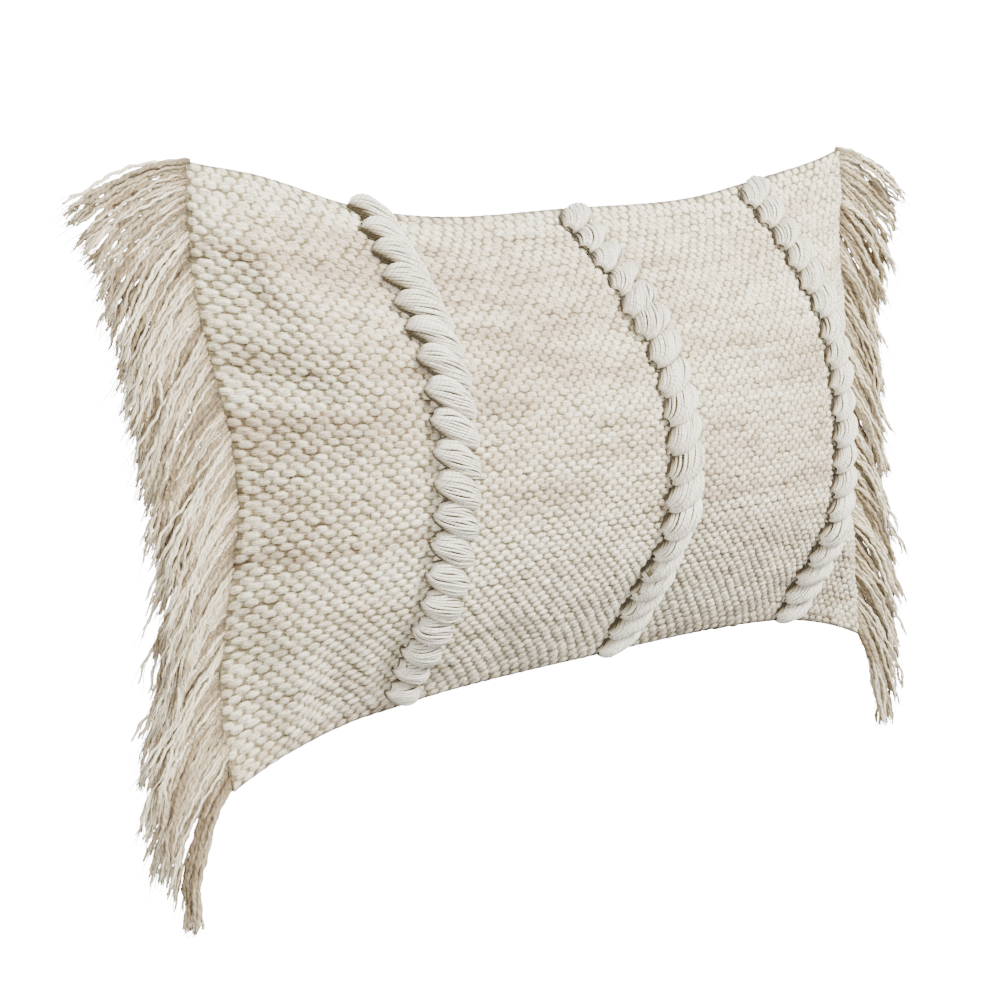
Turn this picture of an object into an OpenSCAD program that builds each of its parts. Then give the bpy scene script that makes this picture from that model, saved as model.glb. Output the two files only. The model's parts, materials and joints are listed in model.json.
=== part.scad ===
// Lumbar throw pillow: a hand-woven cover with three cable ridges and fringed ends, on a stuffed insert.
// It stands upright on its long side: X runs along the width, the front faces -Y, and Z is up.

/* [Cover] */
// Width of the stuffed cover, corner to corner
cover_w = 530; // [420:1:640]
// Height of the stuffed cover, corner to corner
cover_h = 340; // [280:1:420]
// Distance from the seam plane to the crown of one face
crown_d = 76; // [60:1:92]
// Thickness of the woven cover cloth
cloth_t = 2.4; // [1.6:0.1:3.2]
// How far the short edges pull in between their corners
side_pull = 8; // [2:1:14]
// How far the long edges pull in between their corners
long_pull = 30; // [18:1:36]
// Half the gap between the two cloths along a seam
seam_gap = 1; // [0.8:0.1:1.4]
// Width of the turned-in edge along each seam
rim_w = 4; // [3:0.5:5]
// How much the crown of the back is flattened where it rests
back_flat = 3; // [1:0.5:6]

/* [Cables] */
// Place of each cable, from the middle of the front, as a share of half the width
cable_places = [-0.57, 0.05, 0.69];
// Which way the stitches of each cable slant
cable_slants = [1, -1, -1];
// Stitches in one cable
stitch_count = 18; // [12:1:20]
// Width of one cable
cable_w = 36; // [28:1:42]
// Thickness of the yarn bundle of one stitch, as a share of the room between its neighbours
bundle_share = 0.85; // [0.6:0.01:0.86]
// Slant of a stitch from the straight way across, in degrees
stitch_slant = 38; // [25:1:45]
// Share of the panel's height that the stitches cover
cable_share = 0.93; // [0.85:0.01:0.95]

/* [Fringe] */
// Length of the fringe yarns outside the seam
fringe_l = 86; // [60:1:100]
// Tufts along one short side
tuft_count = 17; // [13:1:19]
// Thickness of a tuft in the plane of the pillow
tuft_t = 5; // [4:0.5:8]
// Width of a tuft from front to back
tuft_w = 15; // [10:1:18]
// Width of the woven tape that carries the fringe inside the seam
fringe_tape_w = 11; // [8:1:12]
// Thickness of the fringe tape
fringe_tape_t = 1; // [0.6:0.1:1.4]

/* [Insert] */
// How far the insert stays back from the cover's seams
insert_margin = 17; // [16:1:24]
// Thickness of the insert's plain cotton casing
casing_t = 0.8; // [0.5:0.1:1.2]

/* [Zipper] */
// Length of the closed zipper chain
zip_l = 282; // [222:3:300]
// Distance between two teeth of one side
tooth_pitch = 3; // [2.6:0.1:3.6]
// Reach of one tooth from the far side of the chain
tooth_w = 2.6; // [2.2:0.1:3]
// Height of a tooth
tooth_h = 2.2; // [1.8:0.1:2.6]
// Thickness of the zipper tape
zip_tape_t = 0.6; // [0.4:0.1:0.8]
// Length of the slider
slider_l = 9; // [8:0.5:12]
// Thickness of the slider's walls
slider_wall = 1; // [0.8:0.1:1.2]
// Length of the pull tab
pull_l = 20; // [14:1:26]
// Width of the pull tab
pull_w = 5; // [4.6:0.2:6]
// Thickness of the pull tab
pull_t = 1; // [0.8:0.1:1.2]

/* [Sewing] */
// Thickness of the sewing thread
thread_d = 0.7; // [0.5:0.1:0.9]
// Distance between two stitches in the cover's seams
seam_pitch = 6; // [5:0.5:10]
// Distance between two stitches in the insert's seam
insert_seam_pitch = 9; // [7:0.5:12]

/* [Hidden] */

// Clear gaps between pieces
near_gap = 0.3;
layer_gap = 0.6;

// ---- Form of the stuffed pillow ----
// u runs from -1 at the left edge to 1 at the right edge, v from -1 at the bottom to 1 at the top.
grid_u = 20;
grid_v = 14;

// Half width of the outline at height v, and half height at place u
function edge_x(v) = cover_w / 2 - side_pull * (1 - v * v);
function edge_z(u) = cover_h / 2 - long_pull * (1 - pow(abs(u), 4));

// Fullness of the pillow: 1 in the middle and 0 along the edges
function fullness(u, v) = pow((1 - pow(abs(u), 3)) * (1 - pow(abs(v), 2.2)), 0.75);

// The seam opens around the zipper at the bottom
slot_room = 1.4;
slot_gap = tooth_w + slider_wall + slot_room;
slot_end = 14;
slot_fade = 30;
function clamp01(t) = max(0, min(1, t));
function eased(t) = t * t * (3 - 2 * t);
function slot_share(x) = eased(clamp01((zip_l / 2 + slot_end + slot_fade - abs(x)) / slot_fade));
function seam_half_gap(x, v) = seam_gap + (slot_gap - seam_gap) * slot_share(x) * pow(max(0, -v), 6);

// One point of a cloth face: side is -1 for the front and 1 for the back
function face_point(u, v, side, margin, depth, limit, gap, slotted) =
    let (x = u * (edge_x(v) - margin))
    let (opened = slotted ? seam_half_gap(x, v) : gap)
    [x, side * (opened + min(depth * fullness(u, v), limit)), v * (edge_z(u) - margin)];

// Places across the grid lie closer together near the edges, where the cloth turns quickly
function grid_place(i, n) = sin(90 * (2 * i / n - 1));
function face_grid(side, margin, depth, limit, gap, slotted) =
    [for (j = [0 : grid_v]) for (i = [0 : grid_u])
        face_point(grid_place(i, grid_u), grid_place(j, grid_v), side, margin, depth, limit, gap, slotted)];

function grid_at(i, j) = j * (grid_u + 1) + i;
function quad(a, b, c, d) = [[a, b, c], [a, c, d]];
function joined(lists) = [for (l = lists) each l];

// Triangles of a closed solid between a grid on the -Y side and a grid on the +Y side
grid_count = (grid_u + 1) * (grid_v + 1);
between_faces = joined([
    for (j = [0 : grid_v - 1]) for (i = [0 : grid_u - 1])
        joined([quad(grid_at(i, j), grid_at(i, j + 1), grid_at(i + 1, j + 1), grid_at(i + 1, j)),
            [for (t = quad(grid_at(i, j), grid_at(i + 1, j), grid_at(i + 1, j + 1), grid_at(i, j + 1)))
                t + [grid_count, grid_count, grid_count]]]),
    for (i = [0 : grid_u - 1])
        joined([rim_quad(grid_at(i, 0), grid_at(i + 1, 0)), rim_quad(grid_at(i + 1, grid_v), grid_at(i, grid_v))]),
    for (j = [0 : grid_v - 1])
        joined([rim_quad(grid_at(grid_u, j), grid_at(grid_u, j + 1)), rim_quad(grid_at(0, j + 1), grid_at(0, j))])]);
function rim_quad(a, b) = quad(a, b, b + grid_count, a + grid_count);

module solid_between(near_grid, far_grid) {
    polyhedron(points = concat(near_grid, far_grid), faces = between_faces, convexity = 4);
}

// ---- Cables: slanting bundles of yarn, each beside the next, up the front panel ----
bundle_rings = 6;
bundle_sides = 8;
bundle_tip = 0.25;
no_limit = 1000;

function front_point(u, v) = face_point(u, v, -1, 0, crown_d, no_limit, seam_gap, true);
function unit(p) = p / norm(p);

// Distance along the panel from the bottom, at steps of v, used to set the stitches at equal distances
arc_steps = 60;
function arc_v(i) = -cable_share + 2 * cable_share * i / arc_steps;
function arc_to(u, i) = i == 0 ? 0 : arc_to(u, i - 1) + norm(front_point(u, arc_v(i)) - front_point(u, arc_v(i - 1)));
function arc_table(u) = [for (i = [0 : arc_steps]) [arc_to(u, i), arc_v(i)]];
function stitch_v(table, k) = lookup(table[arc_steps][0] * (k + 0.5) / stitch_count, table);

// The bundles of all cables are as thick as the room between two stitches of the outermost one allows
outer_place = max([for (u = cable_places) abs(u)]);
stitch_pitch = arc_table(outer_place)[arc_steps][0] / stitch_count;
bundle_d = bundle_share * stitch_pitch * cos(stitch_slant);

// Thickness of a bundle along its length: s runs from -1 to 1
function bundle_r(s) = bundle_d / 2 * (bundle_tip + (1 - bundle_tip) * pow(1 - pow(abs(s), 2.4), 0.6));
function bundle_points(u, v, slant) =
    let (step = 0.01)
    let (at = front_point(u, v))
    let (along = unit(front_point(u, v + step) - front_point(u, v - step)))
    let (out = unit(cross(front_point(u + step, v) - front_point(u - step, v), along)))
    let (across = cross(along, out))
    let (axis = cos(stitch_slant) * across - slant * sin(stitch_slant) * along)
    let (wide = cross(out, axis))
    let (half_l = (cable_w / 2 - bundle_tip * bundle_d / 2) / cos(stitch_slant))
    [for (i = [0 : bundle_rings - 1])
        let (s = sin(90 * (2 * i / (bundle_rings - 1) - 1)))
        let (r = bundle_r(s))
        let (centre = at + s * half_l * axis + (r + near_gap) * out)
        for (k = [0 : bundle_sides - 1])
            centre + r * cos(360 * k / bundle_sides) * wide + r * sin(360 * k / bundle_sides) * out];
function cable_points(n) =
    let (u = cable_places[n])
    let (table = arc_table(u))
    [for (k = [0 : stitch_count - 1]) bundle_points(u, stitch_v(table, k), cable_slants[n])];
cables = [for (n = [0 : len(cable_places) - 1]) cable_points(n)];

// Triangles of a closed tube of rings, with flat ends
function tube_faces(rings, sides) = joined([
    for (i = [0 : rings - 2]) for (k = [0 : sides - 1])
        quad(i * sides + k, i * sides + (k + 1) % sides, (i + 1) * sides + (k + 1) % sides, (i + 1) * sides + k),
    [for (k = [1 : sides - 2]) [0, k + 1, k]],
    [for (k = [1 : sides - 2]) (rings - 1) * sides * [1, 1, 1] + [0, k, k + 1]]]);

// ---- Fringe: tufts that leave the short seams and bend down under their own weight ----
tuft_rings = 7;
tuft_sides = 8;
first_tuft = 0.965;
// Angle below the level of a tuft where it leaves the seam, and at its tip
// The lowest tufts hang the steepest, so each lies clear inside the one above it
function root_angle(v) = 18 - 22 * v + 14 * pow(max(0, -v), 5);
function tip_angle(v) = 68 - 27 * v;
function tuft_v(k) = -first_tuft + 2 * first_tuft * k / (tuft_count - 1);
function tuft_shape(s) = 0.45 + 0.55 * sin(180 * min(1, s * 0.72 + 0.1));
function root_gap(v) = near_gap + tuft_t / 2 * tuft_shape(0) * abs(sin(root_angle(v)));
function tuft_points(side, k) =
    let (v = tuft_v(k))
    let (bend = tip_angle(v) - root_angle(v))
    let (radius = fringe_l / (bend * PI / 180))
    [for (i = [0 : tuft_rings - 1])
        let (s = i / (tuft_rings - 1))
        let (a = root_angle(v) + s * bend)
        let (out = edge_x(v) + root_gap(v) + radius * (sin(a) - sin(root_angle(v))))
        let (down = radius * (cos(root_angle(v)) - cos(a)))
        for (n = [0 : tuft_sides - 1])
            let (flat_r = tuft_t / 2 * tuft_shape(s) * cos(360 * n / tuft_sides))
            [side * (out + flat_r * sin(a)),
                tuft_w / 2 * tuft_shape(s) * sin(360 * n / tuft_sides),
                v * cover_h / 2 - down + flat_r * cos(a)]];
left_tufts = [for (k = [0 : tuft_count - 1]) tuft_points(-1, k)];

// ---- Place of the whole pillow: centred over the middle of its footprint, its lowest tip at Z = 0 ----
function axis_values(groups, axis) = [for (g = groups) for (p = g) p[axis]];
front_reach = max([for (c = cables) -min(axis_values(c, 1))]);
back_reach = seam_gap + crown_d - back_flat;
seam_y = (front_reach - back_reach) / 2;
seam_z = -min(axis_values(left_tufts, 2));
module placed() {
    translate([0, seam_y, seam_z])
        children();
}

// ---- Zipper: the chain lies in the slot along the middle of the bottom seam ----
chain_z = -edge_z(0) + tooth_h / 2 + slider_wall;
tooth_gap = 0.4;
tooth_l = tooth_pitch / 2 - tooth_gap;
mesh_reach = 0.5;
teeth_per_side = floor(zip_l / tooth_pitch);
chain_start = -teeth_per_side * tooth_pitch / 2 + tooth_pitch / 4;
tape_in = near_gap;
bridge_gap = 0.5;
tape_side = slot_gap - 0.1;
bridge_z = chain_z + tooth_h / 2 + near_gap + slider_wall + bridge_gap;
slider_side_gap = 0.4;
slider_half_w = tooth_w - mesh_reach + slider_side_gap + slider_wall;
slider_bottom = chain_z - tooth_h / 2 - near_gap - slider_wall;
slider_rest_gap = 1;
slider_rest_x = zip_l / 2 - slider_l / 2 - slider_rest_gap;
stop_l = 2.4;
stop_gap = 0.4;
bail_half_l = 2.1;
bail_post = 0.8;
bail_half_w = 0.8;
bail_drop = 2.3;
pin_r = 0.55;
pivot_drop = 1.15;
pivot_z = slider_bottom - pivot_drop;
pull_neck = 3.4;
pull_leg = 0.8;
pull_lap = 0.4;

// ---- Pieces ----
module panel(side, limit) {
    mirror([0, side < 0 ? 1 : 0, 0])
        solid_between(face_grid(1, rim_w, crown_d - cloth_t, limit - cloth_t, seam_gap, true),
            face_grid(1, 0, crown_d, limit, seam_gap, true));
}

module front_panel() {
    color("wheat")
        placed()
            panel(-1, no_limit);
}

module back_panel() {
    color("wheat")
        placed()
            panel(1, crown_d - back_flat);
}

module cable(n) {
    color("whitesmoke")
        placed()
            for (points = cables[n])
                polyhedron(points = points, faces = tube_faces(bundle_rings, bundle_sides), convexity = 2);
}

module fringe(side) {
    color("antiquewhite")
        placed()
            mirror([side > 0 ? 1 : 0, 0, 0])
                for (points = left_tufts)
                    polyhedron(points = points, faces = tube_faces(tuft_rings, tuft_sides), convexity = 2);
}

// The tape lies between the two turned-in edges and follows the short side
tape_steps = 12;
function tape_end(i) = let (v = -first_tuft + 2 * first_tuft * i / tape_steps) [edge_x(v), v * cover_h / 2];
module fringe_tape(side) {
    color("linen")
        placed()
            mirror([side < 0 ? 1 : 0, 0, 0])
                rotate([90, 0, 0])
                    linear_extrude(height = fringe_tape_t, center = true)
                        polygon(concat([for (i = [0 : tape_steps]) tape_end(i)],
                            [for (i = [tape_steps : -1 : 0]) tape_end(i) - [fringe_tape_w, 0]]));
}

// One stitch is a short length of thread between two cloths, at x and z, from y0 to y1
module thread(x, z, y0, y1) {
    translate([x, y0, z])
        rotate([-90, 0, 0])
            cylinder(h = y1 - y0, d = thread_d, $fn = 24);
}

// Even places along a seam of length l, from end to end, one pitch apart or a little more
function seam_places(l, pitch) =
    let (n = floor(l / pitch))
    [for (k = [0 : n]) -l / 2 + l * k / n];

// The long seams stop at the fringe tapes
module long_seam(side, x_from) {
    seam_l = 2 * (edge_x(1) - fringe_tape_w - 2 * thread_d);
    for (x = seam_places(seam_l, seam_pitch))
        if (abs(x) > x_from)
            thread(x, side * (edge_z(x / edge_x(1)) - rim_w / 2), -seam_gap, seam_gap);
}

module top_seam_stitching() {
    color("ivory")
        placed()
            long_seam(1, -1);
}

module bottom_seam_stitching() {
    color("ivory")
        placed()
            long_seam(-1, zip_l / 2 + slot_end + slot_fade);
}

// The fringe tape runs through the short seams, so each stitch shows on both sides of it
module short_seam(side) {
    color("ivory")
        placed()
            for (z = seam_places(2 * (cover_h / 2 * first_tuft - thread_d), seam_pitch)) {
                x = side * (edge_x(2 * z / cover_h) - rim_w / 2);
                thread(x, z, -seam_gap, -fringe_tape_t / 2);
                thread(x, z, fringe_tape_t / 2, seam_gap);
            }
}

casing_gap = 0.4;
casing_depth = crown_d - cloth_t - layer_gap;
casing_rim = 1.6;
module casing(side, limit) {
    inner_margin = insert_margin + casing_rim;
    mirror([0, side < 0 ? 1 : 0, 0])
        solid_between(face_grid(1, inner_margin, casing_depth - casing_t, limit - casing_t, casing_gap, false),
            face_grid(1, insert_margin, casing_depth, limit, casing_gap, false));
}

casing_back_limit = crown_d - back_flat - cloth_t - layer_gap;
module insert_front_casing() {
    color("white")
        placed()
            casing(-1, no_limit);
}

module insert_back_casing() {
    color("white")
        placed()
            casing(1, casing_back_limit);
}

module insert_seam_stitching() {
    inset = insert_margin + casing_rim / 2;
    long_l = 2 * (edge_x(1) - insert_margin) - 6 * casing_rim;
    short_l = cover_h - 2 * insert_margin - 6 * casing_rim;
    color("white")
        placed() {
            for (x = seam_places(long_l, insert_seam_pitch)) for (side = [-1, 1])
                thread(x, side * (edge_z(x / (edge_x(1) - insert_margin)) - inset), -casing_gap, casing_gap);
            for (z = seam_places(short_l, insert_seam_pitch)) for (side = [-1, 1])
                thread(side * (edge_x(z / (cover_h / 2 - insert_margin)) - inset), z, -casing_gap, casing_gap);
        }
}

filling_margin = insert_margin + casing_rim + 1;
filling_depth = casing_depth - casing_t - near_gap;
module insert_filling() {
    color("snow")
        placed()
            solid_between(face_grid(-1, filling_margin, filling_depth, no_limit, casing_gap, false),
                face_grid(1, filling_margin, filling_depth, casing_back_limit - casing_t - near_gap, casing_gap, false));
}

// The tape rises from the teeth, bridges over the slider's way and lies against the turned-in edge
module zipper_tape(side) {
    outline = [[tape_in, chain_z + tooth_h / 2], [tape_in, bridge_z + zip_tape_t],
        [tape_side, bridge_z + zip_tape_t], [tape_side, -edge_z(0) + near_gap],
        [tape_side - zip_tape_t, -edge_z(0) + near_gap], [tape_side - zip_tape_t, bridge_z],
        [tape_in + zip_tape_t, bridge_z], [tape_in + zip_tape_t, chain_z + tooth_h / 2]];
    color("ivory")
        placed()
            mirror([0, side < 0 ? 1 : 0, 0])
                rotate([90, 0, 90])
                    linear_extrude(height = zip_l + 2 * stop_l + 2 * stop_gap, center = true)
                        polygon(outline);
}

module zipper_teeth(side) {
    shift = side < 0 ? 0 : tooth_pitch / 2;
    color("beige")
        placed()
            for (k = [0 : teeth_per_side - 1])
                translate([chain_start + k * tooth_pitch + shift - tooth_l / 2,
                    side < 0 ? mesh_reach - tooth_w : -mesh_reach, chain_z - tooth_h / 2])
                    cube([tooth_l, tooth_w, tooth_h]);
}

// The stops sit just past the last teeth, the two top stops one on each tape
module stop_block(x, y, w) {
    translate([x, y, chain_z - tooth_h / 2])
        cube([stop_l, w, tooth_h]);
}

module zipper_top_stops() {
    color("silver")
        placed() {
            stop_block(zip_l / 2 + stop_gap, near_gap / 2, tooth_w - mesh_reach);
            stop_block(zip_l / 2 + stop_gap, -near_gap / 2 - (tooth_w - mesh_reach), tooth_w - mesh_reach);
        }
}

module zipper_bottom_stop() {
    color("silver")
        placed()
            stop_block(-zip_l / 2 - stop_gap - stop_l, mesh_reach - tooth_w, 2 * (tooth_w - mesh_reach));
}

// The slider is a channel around the chain, with a bail below it that holds the pull
module zipper_slider() {
    lip = tape_in + zip_tape_t + slider_side_gap;
    top_z = chain_z + tooth_h / 2 + near_gap;
    section = [[-slider_half_w, slider_bottom], [slider_half_w, slider_bottom], [slider_half_w, top_z + slider_wall],
        [lip, top_z + slider_wall], [lip, top_z], [slider_half_w - slider_wall, top_z],
        [slider_half_w - slider_wall, slider_bottom + slider_wall],
        [slider_wall - slider_half_w, slider_bottom + slider_wall], [slider_wall - slider_half_w, top_z],
        [-lip, top_z], [-lip, top_z + slider_wall], [-slider_half_w, top_z + slider_wall]];
    color("silver")
        placed()
            translate([slider_rest_x, 0, 0]) {
                rotate([90, 0, 90])
                    linear_extrude(height = slider_l, center = true)
                        polygon(section);
                for (end = [-1, 1])
                    translate([end * (bail_half_l - bail_post / 2), 0, slider_bottom - bail_drop / 2])
                        cube([bail_post, 2 * bail_half_w, bail_drop], center = true);
                translate([0, 0, slider_bottom - bail_drop - bail_post / 2])
                    cube([2 * bail_half_l, 2 * bail_half_w, bail_post], center = true);
            }
}

// The pull hangs on a pin through the bail and lies along the seam
module zipper_pull() {
    leg_y = pull_w / 2 - pull_leg / 2;
    color("silver")
        placed()
            translate([slider_rest_x, 0, pivot_z]) {
                rotate([90, 0, 0])
                    cylinder(h = pull_w, r = pin_r, center = true, $fn = 32);
                for (side = [-1, 1])
                    translate([-(pull_neck + pull_lap) / 2, side * leg_y, 0])
                        cube([pull_neck + pull_lap, pull_leg, pull_t], center = true);
                difference() {
                    translate([-pull_neck - (pull_l - pull_neck) / 2, 0, 0])
                        cube([pull_l - pull_neck, pull_w, pull_t], center = true);
                    translate([-pull_l + pull_w / 2, 0, 0])
                        cylinder(h = pull_t + 1, r = pull_w / 4, center = true, $fn = 32);
                }
            }
}

front_panel();
back_panel();
cable(0);  // left_cable
cable(1);  // middle_cable
cable(2);  // right_cable
fringe(-1);  // left_fringe
fringe(1);  // right_fringe
fringe_tape(-1);  // left_fringe_tape
fringe_tape(1);  // right_fringe_tape
top_seam_stitching();
bottom_seam_stitching();
short_seam(-1);  // left_seam_stitching
short_seam(1);  // right_seam_stitching
insert_front_casing();
insert_back_casing();
insert_seam_stitching();
insert_filling();
zipper_tape(-1);  // zipper_front_tape
zipper_tape(1);  // zipper_back_tape
zipper_teeth(-1);  // zipper_front_teeth
zipper_teeth(1);  // zipper_back_teeth
zipper_top_stops();
zipper_bottom_stop();
zipper_slider();
zipper_pull();
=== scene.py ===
import json
import math

import bmesh
import bpy
import numpy as np
from mathutils import Matrix, Vector


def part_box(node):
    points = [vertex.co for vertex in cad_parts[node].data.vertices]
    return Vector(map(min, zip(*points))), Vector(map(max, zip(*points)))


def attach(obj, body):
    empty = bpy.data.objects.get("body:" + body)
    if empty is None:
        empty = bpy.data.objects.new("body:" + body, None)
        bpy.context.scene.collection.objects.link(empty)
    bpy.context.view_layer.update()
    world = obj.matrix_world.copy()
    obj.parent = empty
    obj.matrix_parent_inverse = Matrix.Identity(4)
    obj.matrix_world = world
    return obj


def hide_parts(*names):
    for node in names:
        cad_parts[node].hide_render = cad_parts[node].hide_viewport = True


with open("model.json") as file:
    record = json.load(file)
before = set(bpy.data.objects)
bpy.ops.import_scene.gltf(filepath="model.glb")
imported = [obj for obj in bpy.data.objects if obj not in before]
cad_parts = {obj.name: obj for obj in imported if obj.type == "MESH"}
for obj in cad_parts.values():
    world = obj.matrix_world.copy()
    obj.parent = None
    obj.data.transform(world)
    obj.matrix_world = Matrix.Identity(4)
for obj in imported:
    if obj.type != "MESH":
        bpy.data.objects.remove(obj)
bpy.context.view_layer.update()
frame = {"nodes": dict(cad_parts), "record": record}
scene = bpy.context.scene

# ---- Filling ----
# Loose polyester fibre, blown into the insert until the pillow stands up by itself. Its pressure
# gives the pillow its form, so that form is found first: two layers of cloth, cut a little too big
# and held along their drawn-in seams, are blown up by a cloth simulation that all pieces then follow.
front_low, front_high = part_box("front_panel")
back_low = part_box("back_panel")[0]
seam_y = (front_high.y + back_low.y) / 2
middle = np.array([0, seam_y, (front_low.z + front_high.z) / 2])
half_w = front_high.x
half_h = (front_high.z - front_low.z) / 2
cloth_ease = 1.015
full_crown = 0.067
side_pull = 0.008
long_pull = 0.030


def drawn_in(u, v):
    """Where the seams hold a point of the cover. u runs from -1 at the left to 1, v from the bottom."""
    sway = np.cos(1.5 * math.pi * v) * np.clip(-u, 0, 1) ** 3
    dips = 0.004 * np.exp(-(((u + 0.32) / 0.28) ** 2)) - 0.007 * np.exp(-(((u - 0.7) / 0.25) ** 2))
    dips -= 0.009 * np.exp(-(((u + 0.84) / 0.2) ** 2))
    lift = 0.004 * np.exp(-(((u - 1) / 0.3) ** 2))
    pull = long_pull * (1 - u**4) + (dips * (1 - u**12) - lift) * np.clip(v, 0, 1) ** 2
    x = u * (half_w - side_pull * (1 - v**2)) + 0.004 * sway
    return np.stack([x, -0.006 * (1 - 0.5 * v) * sway, v * (half_h - pull)], -1)


def grid_places(across, up):
    """u and v at every vertex of a grid, row by row from the bottom."""
    return np.meshgrid(np.linspace(-1, 1, across + 1), np.linspace(-1, 1, up + 1))


def blown_up_layers(across=70, up=44, frames=40):
    """Blows up the two layers and returns each one's points as (rows, columns, 3), round the middle."""
    u, v = grid_places(across, up)
    held = drawn_in(u, v)
    full = ((1 - np.abs(u) ** 3) * (1 - np.abs(v) ** 2.2)) ** 0.75
    rim = (np.abs(u) == 1) | (np.abs(v) == 1)
    bm = bmesh.new()
    bmesh.ops.create_grid(bm, x_segments=across, y_segments=up, size=1)
    back = bmesh.ops.create_grid(bm, x_segments=across, y_segments=up, size=1)
    bmesh.ops.reverse_faces(bm, faces=list({f for p in back["verts"] for f in p.link_faces}))
    mesh = bpy.data.meshes.new("layers")
    bm.to_mesh(mesh)
    bm.free()
    drawn = np.array([held + np.stack([0 * u, s * full_crown * full, 0 * u], -1) for s in (-1, 1)])
    mesh.vertices.foreach_set("co", (drawn * cloth_ease).ravel())
    layers = bpy.data.objects.new("layers", mesh)
    scene.collection.objects.link(layers)
    layers.shape_key_add(name="Basis")
    key = layers.shape_key_add(name="drawn_in")
    key.data.foreach_set("co", drawn.ravel())
    for at, value in ((1, 0), (12, 1)):
        key.value = value
        key.keyframe_insert("value", frame=at)
    held_by = layers.vertex_groups.new(name="seams")
    held_by.add([int(i) for i in np.flatnonzero(np.tile(rim.ravel(), 2))], 1.0, "REPLACE")
    cloth = layers.modifiers.new("Cloth", "CLOTH")
    cloth.settings.quality = 6
    cloth.settings.mass = 0.3
    cloth.settings.tension_stiffness = 30
    cloth.settings.compression_stiffness = 30
    cloth.settings.shear_stiffness = 10
    cloth.settings.bending_stiffness = 2
    cloth.settings.tension_damping = 5
    cloth.settings.compression_damping = 5
    cloth.settings.shear_damping = 5
    cloth.settings.bending_damping = 0.5
    cloth.settings.vertex_group_mass = "seams"
    cloth.settings.use_pressure = True
    cloth.settings.uniform_pressure_force = 2
    cloth.settings.effector_weights.gravity = 0
    cloth.collision_settings.use_collision = False
    cloth.collision_settings.use_self_collision = False
    cloth.point_cache.frame_end = frames
    scene.frame_end = frames
    for at in range(1, frames + 1):
        scene.frame_set(at)
    found = layers.evaluated_get(bpy.context.evaluated_depsgraph_get())
    points = np.empty(len(mesh.vertices) * 3, np.float32)
    found.data.vertices.foreach_get("co", points)
    points = points.astype(float).reshape(2, up + 1, across + 1, 3)
    bpy.data.objects.remove(layers)
    scene.frame_set(1)
    return {-1: points[0], 1: points[1]}


def spline_weights(count, places):
    """Weights that carry evenly spaced points over into a smooth line, at places from -1 to 1."""
    at = (places + 1) / 2 * (count - 1)
    first = np.clip(at.astype(int), 0, count - 2)
    t = at - first
    four = np.stack([(1 - t) ** 3, 3 * t**3 - 6 * t**2 + 4, 1 + 3 * t + 3 * t**2 - 3 * t**3, t**3], 1)
    weights = np.zeros((len(at), count + 2))
    weights[np.arange(len(at))[:, None], first[:, None] + np.arange(4)] = four / 6
    weights[:, 1] += 2 * weights[:, 0]
    weights[:, 2] -= weights[:, 0]
    weights[:, -2] += 2 * weights[:, -1]
    weights[:, -3] -= weights[:, -1]
    return weights[:, 1:-1]


form_across = 280
form_up = 178
form, form_out = {}, {}
for side, layer in blown_up_layers().items():
    over = spline_weights(layer.shape[1], np.linspace(-1, 1, form_across + 1))
    along = spline_weights(layer.shape[0], np.linspace(-1, 1, form_up + 1))
    form[side] = np.einsum("vj,jic,ui->vuc", along, layer, over) + middle
    out = np.cross(np.gradient(form[side], axis=1), np.gradient(form[side], axis=0))
    form_out[side] = -side * out / np.linalg.norm(out, axis=-1, keepdims=True)


def on_form(side, u, v, out=0.0, middle_only=False):
    """Points out metres above the blown-up form at u and v, on the front (-1) or the back (1)."""
    i = np.clip((np.asarray(u) + 1) / 2 * form_across, 0, form_across - 1e-9)
    j = np.clip((np.asarray(v) + 1) / 2 * form_up, 0, form_up - 1e-9)
    i, j = np.broadcast_arrays(i, j)
    i0, j0 = i.astype(int), j.astype(int)
    p, q = (i - i0)[..., None], (j - j0)[..., None]

    def blend(grid):
        low = grid[j0, i0] * (1 - p) + grid[j0, i0 + 1] * p
        high = grid[j0 + 1, i0] * (1 - p) + grid[j0 + 1, i0 + 1] * p
        return low * (1 - q) + high * q

    if middle_only:
        return blend(form_out[side])
    return blend(form[side]) + blend(form_out[side]) * np.broadcast_to(out, i.shape)[..., None]


def soft_noise(draw, shape, cells):
    """Smooth random values of about -1 to 1 on a grid of shape, from cells of random values."""
    coarse = draw.normal(0, 0.6, (cells[0] + 1, cells[1] + 1))
    down = spline_weights(cells[0] + 1, np.linspace(-1, 1, shape[0]))
    over = spline_weights(cells[1] + 1, np.linspace(-1, 1, shape[1]))
    return down @ coarse @ over.T


def closed_cloth(name, side, outer, inner):
    """A closed piece between two grids of points, (rows, columns, 3) each, joined along their rims."""
    bm = bmesh.new()
    bm.loops.layers.uv.new("UVMap")
    for grid, size in ((outer, 1), (inner, 0.98)):
        made = bmesh.ops.create_grid(
            bm, x_segments=grid.shape[1] - 1, y_segments=grid.shape[0] - 1, size=size, calc_uvs=True
        )
    bmesh.ops.translate(bm, verts=made["verts"], vec=(0, 0, -0.05))
    rim = [e for e in bm.edges if len(e.link_faces) == 1]
    bmesh.ops.bridge_loops(bm, edges=rim)
    bmesh.ops.recalc_face_normals(bm, faces=bm.faces)
    if side > 0:
        bmesh.ops.reverse_faces(bm, faces=bm.faces)
    mesh = bpy.data.meshes.new(name)
    bm.to_mesh(mesh)
    bm.free()
    points = np.concatenate([outer.reshape(-1, 3), inner.reshape(-1, 3)])
    mesh.vertices.foreach_set("co", points.ravel())
    mesh.shade_smooth()
    mesh.update()
    piece = bpy.data.objects.new(name, mesh)
    scene.collection.objects.link(piece)
    return piece


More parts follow.
